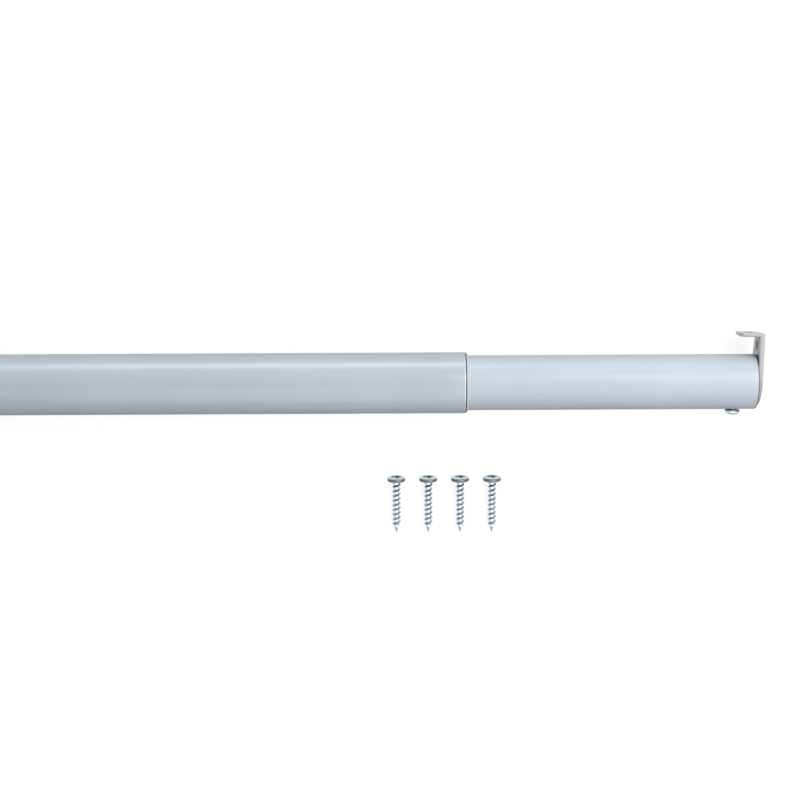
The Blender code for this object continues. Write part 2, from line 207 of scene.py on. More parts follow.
# Bracket enamel
BRACKET_SOCKETS = {"Coat Weight": 0.45, "Coat Roughness": 0.2, "Specular IOR Level": 0.3}
BRACKET_DARK = (0.41, 0.405, 0.425)
BRACKET_LIGHT = (0.475, 0.47, 0.49)
# Painted shade: a dark colour laid into the bracket's nooks, as far as the reach and up to the share
BRACKET_PAINTED_SHADE = (0.10, 0.10, 0.11)
BRACKET_ROUGHNESS = (0.36, 0.46)
BRACKET_GRAIN_SHARE = 0.35
PAINTED_SHADE_REACH = 0.012
PAINTED_SHADE_SHARE = 0.6

# Zinc plate
ZINC_SOCKETS = {"Metallic": 1.0, "Specular Tint": (0.70, 0.78, 0.82, 1.0)}
ZINC_DARK = (0.50, 0.61, 0.66)
ZINC_LIGHT = (0.74, 0.82, 0.85)
# Painted shade: the dark colour laid on the thread's crests and tip-facing flanks, and on the head's rim,
# crown and recess, and the tip, which are also made rougher; the shares below set how much
ZINC_PAINTED_SHADE = (0.07, 0.10, 0.125)
ZINC_ROUGHNESS = (0.16, 0.30)
DULL_ROUGHNESS = 0.45
MARK_SHARE = 0.4
RIM_SHADE_AND_DULLNESS = 0.9
CROWN_SHADE_AND_DULLNESS = 0.8
CREST_SHADE_AND_DULLNESS = 0.9
TIP_SHADE_AND_DULL_SHARES = (0.5, 0.25)

# Nylon
NYLON_SOCKETS = {"Subsurface Weight": 0.15, "Subsurface Radius": (0.0006, 0.0006, 0.0005)}
NYLON_DARK = (0.68, 0.69, 0.71)
NYLON_LIGHT = (0.79, 0.80, 0.82)
NYLON_ROUGHNESS = (0.40, 0.55)

# Noise of the finishes: features to a metre, detail and, where it is drawn out, the stretch
TUBE_CLOUDS = (34.0, 4.0)
TUBE_STREAKS = (420.0, 5.0, (0.03, 1.0, 1.0))
TUBE_GRAIN = (5200.0, 2.0)
TUBE_PEEL = (900.0, 2.0)
BRACKET_CLOUDS = (160.0, 4.0)
BRACKET_GRAIN = (4200.0, 2.0)
BRACKET_PEEL = (1300.0, 2.0)
ZINC_PATCHES = (520.0, 4.0)
ZINC_MARKS = (1500.0, 3.0, (1.0, 1.0, 6.0))
NYLON_CLOUDS = (220.0, 3.0)
NYLON_GRAIN = (3800.0, 2.0)
NOISE_RANGE = (0.3, 0.7)

# Relief of the finishes: height and strength
TUBE_RELIEF = (0.0001, 0.05)
BRACKET_RELIEF = (0.0001, 0.1)
ZINC_RELIEF = (0.00005, 0.15)
NYLON_RELIEF = (0.00004, 0.2)

# Where a painted-shade mask starts and where it is full: open share of a nook or recess, slope of a face to
# the tip
NOOK_OPEN_SHARES = (1.0, 0.65)
RECESS_OPEN_SHARES = (0.85, 0.5)
FLANK_SLOPES = (-0.25, -0.7)
NOOK_SAMPLES = 6

# Sockets of a Mix node, by number: a factor and two colours go in, one colour comes out
MIX_COLOUR_INPUTS = (0, 6, 7)
MIX_COLOUR_OUTPUT = 2

# Studio
FLOOR_SIZE = 40.0
FLOOR_COLOUR = (0.22, 0.22, 0.22)
FLOOR_GLOW = 0.87
WORLD_LIGHT = 0.06
WORLD_WHITE = 1.0
SOFT_BOXES = {
    "key_box": {
        "place": (1.00, 0.34, 0.92),
        "aim": (0.64, 0.0, 0.0),
        "size": (0.90, 0.55),
        "radiance": 4.6,
    },
    "front_box": {
        "place": (0.66, -0.60, 0.85),
        "aim": (0.54, 0.0, 0.0),
        "size": (1.40, 1.20),
        "radiance": 1.35,
    },
    "side_box": {
        "place": (0.80, 0.90, 0.14),
        "aim": (0.40, 0.0, 0.0),
        "size": (1.80, 0.36),
        "radiance": 1.9,
    },
    "side_strip": {
        "place": (-0.07, 0.80, 0.20),
        "aim": (-0.07, 0.0, 0.0),
        "size": (1.20, 0.28),
        "radiance": 3.0,
    },
}

# Camera, from the photograph; the sensor is in millimetres
PHOTO_SIDE = 800
FOCAL_PIXELS = 1870
SENSOR_WIDTH = 36.0
CAMERA_TARGET = Vector((0.4015, -0.0089, 0.0))
CAMERA_DISTANCE = 0.975
CAMERA_TILT = math.radians(7)
CAMERA_ROLL = math.radians(0.266)


# Mesh helpers


def make_object(name, work):
    """Turn a bmesh into a linked object with its faces pointing out."""
    bmesh.ops.recalc_face_normals(work, faces=work.faces)
    mesh = bpy.data.meshes.new(name)
    work.to_mesh(mesh)
    work.free()
    item = bpy.data.objects.new(name, mesh)
    bpy.context.scene.collection.objects.link(item)
    return item


def apply_modifiers(item):
    """Replace an object's mesh by what its modifiers make of it."""
    bpy.context.view_layer.update()
    graph = bpy.context.evaluated_depsgraph_get()
    mesh = bpy.data.meshes.new_from_object(item.evaluated_get(graph))
    item.modifiers.clear()
    item.data = mesh


def combine(item, tool, operation):
    """Join a tool to an object, or cut it out, and delete the tool."""
    change = item.modifiers.new(operation, "BOOLEAN")
    change.operation = operation
    change.solver = "EXACT"
    change.object = tool
    apply_modifiers(item)
    bpy.data.objects.remove(tool, do_unlink=True)


def smooth(item):
    """Shade round faces smooth and keep the real edges sharp."""
    item.data.shade_smooth()
    item.data.set_sharp_from_angle(angle=SHARP_ANGLE)


def arc(centre, radius, start, end, steps):
    """Points of an arc in a plane, angles in degrees."""
    points = []
    for step in range(steps + 1):
        angle = math.radians(start + (end - start) * step / steps)
        points.append((centre[0] + radius * math.cos(angle), centre[1] + radius * math.sin(angle)))
    return points


def lathe(name, outline, axis, sides, closed):
    """Turn an outline of (distance along the axis, radius) points about X, Y or Z."""
    along = Vector((axis == "X", axis == "Y", axis == "Z"))
    outward = Vector((axis == "Z", axis == "X", axis == "Y"))
    work = bmesh.new()
    corners = [work.verts.new(along * distance + outward * radius) for distance, radius in outline]
    first = 0 if closed else 1
    edges = [work.edges.new((corners[i - 1], corners[i])) for i in range(first, len(corners))]
    bmesh.ops.spin(
        work, geom=corners + edges, cent=(0.0, 0.0, 0.0), axis=along,
        angle=2 * math.pi, steps=sides, use_merge=True, use_duplicate=False,
    )
    bmesh.ops.remove_doubles(work, verts=work.verts, dist=TOLERANCE)
    return make_object(name, work)


def push_out(work, faces, push):
    """Extrude faces along one direction."""
    grown = bmesh.ops.extrude_face_region(work, geom=faces)
    moved = [part for part in grown["geom"] if isinstance(part, bmesh.types.BMVert)]
    bmesh.ops.translate(work, verts=moved, vec=push)


def prism(name, outline, push):
    """Extrude a closed flat outline, given as points, along one direction."""
    work = bmesh.new()
    face = work.faces.new([work.verts.new(point) for point in outline])
    push_out(work, [face], push)
    return make_object(name, work)


def edges_where(work, test):
    """Edges whose both ends pass a test."""
    return [edge for edge in work.edges if all(test(vert.co) for vert in edge.verts)]


def round_edges(work, edges, radius, steps):
    """Replace edges by round ones."""
    bmesh.ops.bevel(work, geom=edges, offset=radius, segments=steps, profile=ROUND_PROFILE, affect="EDGES")


def reach(node):
    """Largest distance of a CAD node from the rod's axis."""
    return max(math.hypot(vert.co.y, vert.co.z) for vert in frame["nodes"][node].data.vertices)


def take_place(piece, node, material):
    """Let a fine piece stand for a CAD node, on the node's body."""
    smooth(piece)
    piece.data.materials.clear()
    piece.data.materials.append(material)
    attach(piece, next(body for body, members in BODIES.items() if node in members))
    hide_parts(node)


# Tubes and bush


def tube_outline(start_x, end_x, radius):
    """Outline of a tube wall whose two ends are rolled in a little."""
    half = TUBE_WALL / 2
    first, last = start_x + RIM_LENGTH, end_x - RIM_LENGTH
    stations = [first + (last - first) * step / WALL_STEPS for step in range(WALL_STEPS + 1)]
    rim = arc((0.0, 0.0), 1.0, 90, -90, RIM_STEPS)
    far_end = [(last + RIM_LENGTH * along, radius - half + half * out) for along, out in rim[1:-1]]
    near_end = [(first - RIM_LENGTH * along, radius - half - half * out) for along, out in rim[1:-1]]
    inside = [(x, radius - TUBE_WALL) for x in reversed(stations)]
    outside = [(x, radius) for x in stations]
    return far_end + inside + near_end + outside


def screw_slot(tube_radius, end_x, inward):
    """Cutter for the slot that lets the retaining screw swing with its bracket."""
    radius = RETAINING_SCREW["thread_diameter"] / 2 + SEAT_GAP
    far = RETAINING_INSET + 2 * tube_radius * math.sin(LEAN_ANGLE)
    low_x, high_x = sorted((end_x + inward * RETAINING_INSET, end_x + inward * far))
    outline = arc((high_x, 0.0), radius, -90, 90, HOLE_SIDES // 2)
    outline += arc((low_x, 0.0), radius, 90, 270, HOLE_SIDES // 2)
    start_y = -tube_radius - SLOT_CUTTER_DEPTH / 2
    return prism("slot", [(x, start_y, z) for x, z in outline], (0.0, SLOT_CUTTER_DEPTH, 0.0))


def make_tube(node, material, slotted_end):
    """Fine tube with its rounded rims and its screw slot."""
    low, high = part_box(node)
    radius = reach(node)
    tube = lathe("fine_" + node, tube_outline(low.x, high.x, radius), "X", TUBE_SIDES, True)
    end_x, inward = (low.x, 1) if slotted_end == "low" else (high.x, -1)
    combine(tube, screw_slot(radius, end_x, inward), "DIFFERENCE")
    take_place(tube, node, material)


def make_bush(material):
    """Nylon liner whose flange shows at the outer tube's mouth, with eased edges."""
    low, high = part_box("mouth_bush")
    flange = reach("mouth_bush")
    inside = reach("inner_tube") + SLIDE_CLEARANCE
    sleeve = reach("inner_tube") + RUNNING_GAP - SLIDE_CLEARANCE
    back = high.x - BUSH_FLANGE_THICKNESS
    ease = BUSH_EDGE_RADIUS
    outline = [(low.x, inside)]
    outline += arc((high.x - ease, inside + ease), ease, -90, 0, EDGE_STEPS)
    outline += arc((high.x - ease, flange - ease), ease, 0, 90, EDGE_STEPS)
    outline += arc((back + ease, flange - ease), ease, 90, 180, EDGE_STEPS)
    outline += [(back, sleeve), (low.x, sleeve)]
    bush = lathe("fine_mouth_bush", outline, "X", TUBE_SIDES, True)
    take_place(bush, "mouth_bush", material)


# Screws: axis along Z, seat of the head at zero, tip below


def screw_head(size):
    """Pan head with an eased rim and a plain neck."""
    radius = size["head_diameter"] / 2
    neck = size["neck_diameter"] / 2
    rim = size["rim_height"]
    ease = rim * RIM_ROUND_SHARE
    crown = size["head_height"] - rim
    outline = [(size["head_height"], 0.0)]
    for step in range(1, DOME_STEPS + 1):
        angle = math.pi / 2 * step / DOME_STEPS
        height = rim + crown * max(0.0, math.cos(angle)) ** size["dome_fullness"]
        outline.append((height, radius * math.sin(angle)))
    outline += arc((ease, radius - ease), ease, 90, 180, EDGE_STEPS)
    outline += [(0.0, neck), (-size["neck_length"], neck), (-size["neck_length"], 0.0)]
    return lathe("screw", outline, "Z", HEAD_SIDES, False)


def taper_to_tip(work, size):
    """Draw the lower end of a thread in to a gimlet point."""
    for vert in work.verts:
        share = (vert.co.z + size["length"]) / size["tip_length"]
        share = min(1.0, max(TIP_SHARE, share))
        vert.co.x *= share
        vert.co.y *= share


def trim(work, height, direction):
    """Cut everything past a level plane away and close the cut."""
    everything = work.verts[:] + work.edges[:] + work.faces[:]
    bmesh.ops.bisect_plane(
        work, geom=everything, dist=TOLERANCE, plane_co=(0.0, 0.0, height),
        plane_no=(0.0, 0.0, direction), clear_outer=True,
    )
    cut = edges_where(work, lambda co: abs(co.z - height) < TOLERANCE)
    bmesh.ops.holes_fill(work, edges=[edge for edge in cut if edge.is_boundary], sides=0)


def screw_thread(size):
    """Right-hand thread: one pitch of its outline swept up a helix."""
    pitch = size["pitch"]
    core = size["core_diameter"] / 2
    height = size["thread_diameter"] / 2 - core
    turns = math.ceil(size["length"] / pitch) + SPARE_TURNS
    bottom = -size["length"] - pitch * (1.0 + THREAD_PHASE)
    work = bmesh.new()
    rows = []
    for step in range(THREAD_SIDES * turns + 1):
        turn = Matrix.Rotation(2 * math.pi * step / THREAD_SIDES, 3, "Z")
        lift = bottom + pitch * step / THREAD_SIDES
        outline = [Vector((core + out * height, 0.0, lift + up * pitch)) for out, up in THREAD_OUTLINE]
        rows.append([work.verts.new(turn @ point) for point in outline])
    for step in range(len(rows) - 1 - THREAD_SIDES):
        here = rows[step] + rows[step + THREAD_SIDES][:1]
        there = rows[step + 1] + rows[step + 1 + THREAD_SIDES][:1]
        for i in range(len(here) - 1):
            work.faces.new((here[i], there[i], there[i + 1], here[i + 1]))
    bmesh.ops.delete(work, geom=[vert for vert in work.verts if not vert.link_faces], context="VERTS")
    taper_to_tip(work, size)
    trim(work, -size["length"], -1.0)
    trim(work, -size["neck_length"] * NECK_OVERLAP_SHARE, 1.0)
    return make_object("thread", work)


def cross_points(span, arm, height):
    """Outline of a plus sign."""
    quarter = [(span, -arm), (span, arm), (arm, arm)]
    points = []
    for turn in range(4):
        spin = Matrix.Rotation(math.pi / 2 * turn, 3, "Z")
        points += [spin @ Vector((x, y, height)) for x, y in quarter]
    return points


def cross_recess(size):
    """Tapered cross cutter for the driver."""
    span = size["head_diameter"] / 2 * RECESS_SPAN_SHARE
    arm = size["head_diameter"] / 2 * RECESS_ARM_SHARE
    floor_span = span * RECESS_FLOOR_SPAN_SHARE
    floor_arm = arm * RECESS_FLOOR_ARM_SHARE
    top = size["head_height"] * RECESS_TOP_SHARE
    floor = size["head_height"] * (1.0 - RECESS_DEPTH_SHARE)
    work = bmesh.new()
    upper = [work.verts.new(point) for point in cross_points(span, arm, top)]
    lower = [work.verts.new(point) for point in cross_points(floor_span, floor_arm, floor)]
    work.faces.new(upper)
    work.faces.new(list(reversed(lower)))
    for i in range(len(upper)):
        work.faces.new((upper[i - 1], lower[i - 1], lower[i], upper[i]))
    return make_object("recess", work)


def make_screw(name, size):
    """Pan-head screw with a real helical thread and a driver recess."""
    screw = screw_head(size)
    combine(screw, screw_thread(size), "UNION")
    combine(screw, cross_recess(size), "DIFFERENCE")
    screw.name = name
    return screw


def lay_on_node(piece, node):
    """Shift a turned piece so that its box meets the CAD node's box."""
    low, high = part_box(node)
    corners = [piece.matrix_basis @ vert.co for vert in piece.data.vertices]
    middle_x = (min(co.x for co in corners) + max(co.x for co in corners)) / 2
    high_y = max(co.y for co in corners)
    low_z = min(co.z for co in corners)
    piece.location += Vector(((low.x + high.x) / 2 - middle_x, high.y - high_y, low.z - low_z))


def make_mounting_screws(material):
    """Row of loose screws, each resting on its head's rim and its last full thread."""
    size = MOUNTING_SCREW
    drop = (size["head_diameter"] - size["thread_diameter"]) / 2
    tilt = math.asin(drop / (size["length"] - size["tip_length"]))
    pattern = make_screw("fine_mounting_screw_1", size)
    for index in range(1, MOUNTING_SCREW_COUNT + 1):
        node = "mounting_screw_%d" % index
        screw = pattern
        if index > 1:
            screw = bpy.data.objects.new("fine_" + node, pattern.data)
            bpy.context.scene.collection.objects.link(screw)
        screw.rotation_mode = "ZYX"
        screw.rotation_euler = (tilt - math.pi / 2, 0.0, SCREW_TURN)
        lay_on_node(screw, node)
        take_place(screw, node, material)


# Brackets: wall face at x = 0, the tube towards +x, the tab towards +y


def bracket_matrix(prefix):
    """Place of a bracket's own frame, from the two faces that it mounts by."""
    wall = MOUNTS[prefix + "_wall_face"]
    x_axis = -Vector(wall["axis"])
    z_axis = x_axis.cross(Vector(MOUNTS[prefix + "_shelf_face"]["axis"])).normalized()
    turn = Matrix((x_axis, z_axis.cross(x_axis), z_axis)).transposed()
    return Matrix.Translation(wall["pos_m"]) @ turn.to_4x4()


def teardrop(disc_radius, tab_height):
    """Outline of the wall plate: a disc drawn up to the width of the tab, as (y, z) points."""
    half = TAB_WIDTH / 2
    corner = math.degrees(math.atan2(half, tab_height))
    touch = corner + math.degrees(math.acos(disc_radius / math.hypot(tab_height, half)))
    disc = arc((0.0, 0.0), disc_radius, touch, 360 - touch, DISC_STEPS)
    return [(tab_height, half)] + disc + [(tab_height, -half)]


def tab_drop(x):
    """How far the over-bent tab has sunk towards the tube at a distance from the wall."""
    return max(0.0, x - PLATE_THICKNESS) * math.tan(TAB_OVERBEND)


def push_tab(work, under_tab):
    """Push the tab out of the top of the plate's inner face."""
    inner_face = max(work.faces, key=lambda face: face.calc_center_median().x)
    bmesh.ops.bisect_plane(
        work, geom=[inner_face, *inner_face.edges, *inner_face.verts], dist=TOLERANCE,
        plane_co=(0.0, under_tab, 0.0), plane_no=(0.0, 1.0, 0.0),
    )
    above = [face for face in work.faces if min(vert.co.y for vert in face.verts) > under_tab - TOLERANCE]
    root = [face for face in above if min(vert.co.x for vert in face.verts) > PLATE_THICKNESS / 2]
    push_out(work, root, (TAB_LENGTH - PLATE_THICKNESS, 0.0, 0.0))
    bmesh.ops.delete(work, geom=[face for face in root if face.is_valid], context="FACES_ONLY")


def round_tab(work, under_tab, tab_height):
    """Round the tab's corners, its rolled lower edge and its bend."""
    at_tip = edges_where(work, lambda co: co.x > TAB_LENGTH - TOLERANCE)
    corners = [edge for edge in at_tip if edge.verts[0].co.z * edge.verts[1].co.z > 0]
    round_edges(work, corners, TAB_CORNER_RADIUS, CORNER_STEPS)
    under = edges_where(work, lambda co: abs(co.y - under_tab) < TOLERANCE)
    rolled = [edge for edge in under if max(vert.co.x for vert in edge.verts) > PLATE_THICKNESS + TOLERANCE]
    round_edges(work, rolled, TAB_ROLL_RADIUS, CORNER_STEPS // 2)
    bend = edges_where(work, lambda co: co.x < TOLERANCE and co.y > tab_height - TOLERANCE)
    round_edges(work, bend, BEND_RADIUS, CORNER_STEPS)


def plate_and_tab(disc_radius, tab_height):
    """Wall plate with the tab bent out of its top, a little past square."""
    under_tab = tab_height - TAB_THICKNESS
    work = bmesh.new()
    corners = [work.verts.new((0.0, y, z)) for y, z in teardrop(disc_radius, tab_height)]
    push_out(work, [work.faces.new(corners)], (PLATE_THICKNESS, 0.0, 0.0))
    push_tab(work, under_tab)
    round_tab(work, under_tab, tab_height)
    for vert in work.verts:
        vert.co.y -= tab_drop(vert.co.x)
    return make_object("plate", work)


def ease_edges(item):
    """Ease the sharp edges of stamped sheet."""
    rounding = item.modifiers.new("edges", "BEVEL")
    rounding.width = EDGE_RADIUS
    rounding.segments = EDGE_STEPS
    rounding.limit_method = "ANGLE"
    rounding.angle_limit = SHARP_ANGLE
    apply_modifiers(item)


def hole_cutter(diameter, centre, axis, wall):
    """Round cutter along X or Y, flared where it meets the two faces of the wall."""
    radius = diameter / 2
    half = wall / 2
    end = half + HOLE_MARGIN
    flare = radius + HOLE_CHAMFER + HOLE_MARGIN
    throat = half - HOLE_CHAMFER
    outline = [(-end, 0.0), (-end, flare), (-throat, radius), (throat, radius), (end, flare), (end, 0.0)]
    cutter = lathe("hole", outline, axis, HOLE_SIDES, False)
    cutter.location = centre
    return cutter


def tongue_floor(bore):
    """Distance from the axis to the tongue's outer face, seated in a bore."""
    return math.sqrt(bore ** 2 - (TONGUE_WIDTH / 2) ** 2) - SEAT_GAP


def tongue(bore):
    """Tongue that reaches into the tube, rooted in the plate."""
    floor = -tongue_floor(bore)
    top = floor + TONGUE_THICKNESS
    start = PLATE_THICKNESS / 2
    half = TONGUE_WIDTH / 2
    outline = [(start, floor, -half), (start, floor, half), (start, top, half), (start, top, -half)]
    return prism("tongue", outline, (PLATE_THICKNESS + TONGUE_LENGTH - start, 0.0, 0.0))


def drill_holes(bracket, tube_radius, tab_height):
    """Wall hole in the plate, shelf hole in the tab and screw hole in the tongue."""
    wide = MOUNTING_SCREW["thread_diameter"] + 2 * HOLE_CLEARANCE
    narrow = RETAINING_SCREW["thread_diameter"] + 2 * SEAT_GAP
    under_tab = tab_height - TAB_THICKNESS
    tongue_middle = TONGUE_THICKNESS / 2 - tongue_floor(tube_radius - TUBE_WALL)
    in_plate = (PLATE_THICKNESS / 2, (tube_radius + under_tab) / 2, 0.0)
    tab_middle = (PLATE_THICKNESS + TAB_LENGTH) / 2
    in_tab = (tab_middle, tab_height - TAB_THICKNESS / 2 - tab_drop(tab_middle), 0.0)
    in_tongue = (PLATE_THICKNESS + END_GAP + RETAINING_INSET, tongue_middle, 0.0)
    combine(bracket, hole_cutter(wide, in_plate, "X", PLATE_THICKNESS), "DIFFERENCE")
    tab_cutter = hole_cutter(wide, in_tab, "Y", TAB_THICKNESS)
    tab_cutter.rotation_euler.z = -TAB_OVERBEND
    combine(bracket, tab_cutter, "DIFFERENCE")
    combine(bracket, hole_cutter(narrow, in_tongue, "Y", TONGUE_THICKNESS), "DIFFERENCE")


def make_bracket(prefix, tube_radius, material):
    """Bracket for one tube: plate, tab and tongue, with its three holes."""
    bore = tube_radius - TUBE_WALL
    tab_height = reach("inner_tube") + TAB_GAP + TAB_THICKNESS
    bracket = plate_and_tab(bore - DISC_CLEARANCE, tab_height)
    ease_edges(bracket)
    combine(bracket, tongue(bore), "UNION")
    drill_holes(bracket, tube_radius, tab_height)
    bracket.name = "fine_%s_bracket" % prefix
    bracket.matrix_basis = bracket_matrix(prefix)
    take_place(bracket, prefix + "_bracket", material)


def make_retaining_screw(prefix, tube_radius, material):
    """Screw backed off far enough for its bracket to lean."""
    swing = END_GAP + RETAINING_INSET + RETAINING_SCREW["head_diameter"] / 2
    seat = tube_radius + swing * math.sin(LEAN_ANGLE) + RETAINING_HEAD_GAP
    place = Matrix.Translation((PLATE_THICKNESS + END_GAP + RETAINING_INSET, -seat, 0.0))
    screw = make_screw("fine_%s_bracket_screw" % prefix, RETAINING_SCREW)
    turn = Matrix.Rotation(math.pi / 2, 4, "X") @ Matrix.Rotation(RETAINING_TURN, 4, "Z")
    screw.matrix_basis = bracket_matrix(prefix) @ place @ turn
    take_place(screw, prefix + "_bracket_screw", material)


# Shader helpers


def add_node(tree, kind, inputs=None, **properties):
    """Add a shader node, set its properties, and fill or link its inputs."""
    made = tree.nodes.new(kind)
    for name, value in properties.items():
        setattr(made, name, value)
    for name, value in (inputs or {}).items():
        if isinstance(value, bpy.types.NodeSocket):
            tree.links.new(value, made.inputs[name])
        else:
            made.inputs[name].default_value = value
    return made


def new_material(name, sockets):
    """Material with a Principled shader, and its constant sockets set."""
    material = bpy.data.materials.new(name)
    material.use_nodes = True
    shader = material.node_tree.nodes["Principled BSDF"]
    for socket, value in sockets.items():
        shader.inputs[socket].default_value = value
    return material, material.node_tree, shader


def object_space(tree):
    """Coordinates that stay with the object."""
    return add_node(tree, "ShaderNodeTexCoord").outputs


def noise(tree, place, scale, detail, stretch=(1.0, 1.0, 1.0)):
    """Noise in the object's own space, with features about 1 / scale metres across."""
    spread = add_node(tree, "ShaderNodeMapping", {"Vector": place, "Scale": stretch}).outputs["Vector"]
    inputs = {"Vector": spread, "Scale": scale, "Detail": detail}
    return add_node(tree, "ShaderNodeTexNoise", inputs).outputs["Fac"]


def blend_of(tree, first, second, share):
    """Weighted mean of two values."""
    inputs = {"Factor": share, "A": first, "B": second}
    return add_node(tree, "ShaderNodeMix", inputs).outputs["Result"]


def colour_blend(tree, first, second, share):
    """Mix of two colours."""
    inputs = dict(zip(MIX_COLOUR_INPUTS, (share, first, second)))
    return add_node(tree, "ShaderNodeMix", inputs, data_type="RGBA").outputs[MIX_COLOUR_OUTPUT]


def tones(tree, value, dark, light):
    """Colour between a dark and a light tone, by a noise value."""
    ramp = add_node(tree, "ShaderNodeValToRGB", {"Fac": value})
    for element, position, colour in zip(ramp.color_ramp.elements, NOISE_RANGE, (dark, light)):
        element.position = position
        element.color = (*colour, 1.0)
    return ramp.outputs["Color"]


def spread_to(tree, value, low, high):
    """Map a noise value to a range."""
    start, end = NOISE_RANGE
    inputs = {"Value": value, "From Min": start, "From Max": end, "To Min": low, "To Max": high}
    return add_node(tree, "ShaderNodeMapRange", inputs).outputs["Result"]


def rise(tree, value, start, end, top=1.0):
    """Goes from nothing to a top value while another value goes from start to end."""
    inputs = {"Value": value, "From Min": start, "From Max": end, "To Max": top}
    return add_node(tree, "ShaderNodeMapRange", inputs).outputs["Result"]


def arithmetic(tree, operation, *values):
    """Result of a Math node."""
    return add_node(tree, "ShaderNodeMath", dict(enumerate(values)), operation=operation).outputs[0]


def larger(tree, first, second):
    """Larger of two values."""
    return arithmetic(tree, "MAXIMUM", first, second)


def open_share(tree, distance):
    """Share of the surroundings, as far as a distance, that the object's own shape leaves open."""
    inputs = {"Distance": distance}
    made = add_node(tree, "ShaderNodeAmbientOcclusion", inputs, samples=NOOK_SAMPLES, only_local=True)
    return made.outputs["AO"]


def bump(tree, height, distance, strength):
    """Normal of a fine relief."""
    inputs = {"Height": height, "Distance": distance, "Strength": strength}
    return add_node(tree, "ShaderNodeBump", inputs).outputs["Normal"]


# Finishes


def rim_mask(tree, place, tube, stretch):
    """Rises to one at both ends of a tube, over a stretch given by two distances from the end."""
    low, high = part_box(tube)
    along = add_node(tree, "ShaderNodeSeparateXYZ", {"Vector": place}).outputs["X"]
    offset = arithmetic(tree, "SUBTRACT", along, (low.x + high.x) / 2)
    distance = arithmetic(tree, "ABSOLUTE", offset)
    end = (high.x - low.x) / 2
    return rise(tree, distance, end - stretch[0], end - stretch[1])


def tube_paint(tube):
    """Satin silver paint: cloudy, streaked along the tube, worn at the rims, with painted shade on the last
    of each end.
    """
    look = TUBE_FINISHES[tube]
    material, tree, shader = new_material(tube + "_paint", {"Coat Weight": look["coat"], **TUBE_SOCKETS})
    place = object_space(tree)["Object"]
    worn = rim_mask(tree, place, tube, look["worn_stretch"])
    # The cut mask lays painted shade on the last half millimetre of each end, where the rolled rim turns
    # from the light
    cut = rim_mask(tree, place, tube, END_SHADE_STRETCH)
    clouds = noise(tree, place, *TUBE_CLOUDS)
    streaks = noise(tree, place, *TUBE_STREAKS)
    grain = noise(tree, place, *TUBE_GRAIN)
    peel = noise(tree, place, *TUBE_PEEL)
    tone = blend_of(tree, blend_of(tree, clouds, streaks, STREAK_SHARE), grain, TUBE_GRAIN_SHARE)
    paint = tones(tree, tone, look["dark"], look["light"])
    rimmed = colour_blend(tree, paint, (*WORN_RIM, 1.0), worn)
    tree.links.new(colour_blend(tree, rimmed, (*look["cut"], 1.0), cut), shader.inputs["Base Color"])
    metallic = blend_of(tree, look["metallic"], look["worn_metallic"], worn)
    tree.links.new(metallic, shader.inputs["Metallic"])
    tree.links.new(spread_to(tree, streaks, *TUBE_ROUGHNESS), shader.inputs["Roughness"])
    tree.links.new(bump(tree, peel, *TUBE_RELIEF), shader.inputs["Normal"])
    return material


def bracket_paint(name):
    """Semi-gloss neutral grey enamel over sheet steel, with painted shade in its nooks."""
    material, tree, shader = new_material(name, BRACKET_SOCKETS)
    place = object_space(tree)["Object"]
    clouds = noise(tree, place, *BRACKET_CLOUDS)
    grain = noise(tree, place, *BRACKET_GRAIN)
    peel = noise(tree, place, *BRACKET_PEEL)
    tone = blend_of(tree, clouds, grain, BRACKET_GRAIN_SHARE)
    paint = tones(tree, tone, BRACKET_DARK, BRACKET_LIGHT)
    # Painted shade darkens the enamel where the bracket's own shape closes in on it
    painted_shade = rise(tree, open_share(tree, PAINTED_SHADE_REACH), *NOOK_OPEN_SHARES, PAINTED_SHADE_SHARE)
    tree.links.new(colour_blend(tree, paint, (*BRACKET_PAINTED_SHADE, 1.0), painted_shade), shader.inputs["Base Color"])
    tree.links.new(spread_to(tree, clouds, *BRACKET_ROUGHNESS), shader.inputs["Roughness"])
    tree.links.new(bump(tree, peel, *BRACKET_RELIEF), shader.inputs["Normal"])
    return material


def shade_and_dull_on_thread(tree, space, radius, height, size):
    """Where shade is painted on a thread, which is also rougher there: its crest, and each face that points
    to the tip.
    """
    crest = size["thread_diameter"] / 2
    core = size["core_diameter"] / 2
    at_crest = rise(tree, radius, (core + crest) / 2, crest, CREST_SHADE_AND_DULLNESS)
    below_neck = rise(tree, height, 0.0, -size["neck_length"])
    slope = add_node(tree, "ShaderNodeSeparateXYZ", {"Vector": space["Normal"]}).outputs["Z"]
    return larger(tree, rise(tree, slope, *FLANK_SLOPES), arithmetic(tree, "MULTIPLY", at_crest, below_neck))


def shade_and_dull_on_head(tree, radius, height, size):
    """Where shade is painted on a head, which is also rougher there: its rim, its crown and its recess."""
    rim = [share * size["head_diameter"] / 2 for share in size["shade_and_dull_rim"]]
    crown = [share * size["head_height"] for share in size["shade_and_dull_crown"]]
    outside = larger(
        tree, rise(tree, radius, *rim, RIM_SHADE_AND_DULLNESS), rise(tree, height, *crown, CROWN_SHADE_AND_DULLNESS),
    )
    recess = rise(tree, open_share(tree, size["head_height"]), *RECESS_OPEN_SHARES)
    return larger(tree, outside, recess)


def shade_and_dull_mask(tree, space, size):
    """Where shade is painted on a screw, which is also rougher there: on its thread, its head and its tip.
    """
    across = {0: space["Object"], 1: (1.0, 1.0, 0.0)}
    flat = add_node(tree, "ShaderNodeVectorMath", across, operation="MULTIPLY").outputs[0]
    radius = add_node(tree, "ShaderNodeVectorMath", {0: flat}, operation="LENGTH").outputs["Value"]
    height = add_node(tree, "ShaderNodeSeparateXYZ", {"Vector": space["Object"]}).outputs["Z"]
    thread = shade_and_dull_on_thread(tree, space, radius, height, size)
    head = shade_and_dull_on_head(tree, radius, height, size)
    tip = [share * size["tip_length"] - size["length"] for share in TIP_SHADE_AND_DULL_SHARES]
    return larger(tree, larger(tree, thread, head), rise(tree, height, *tip))


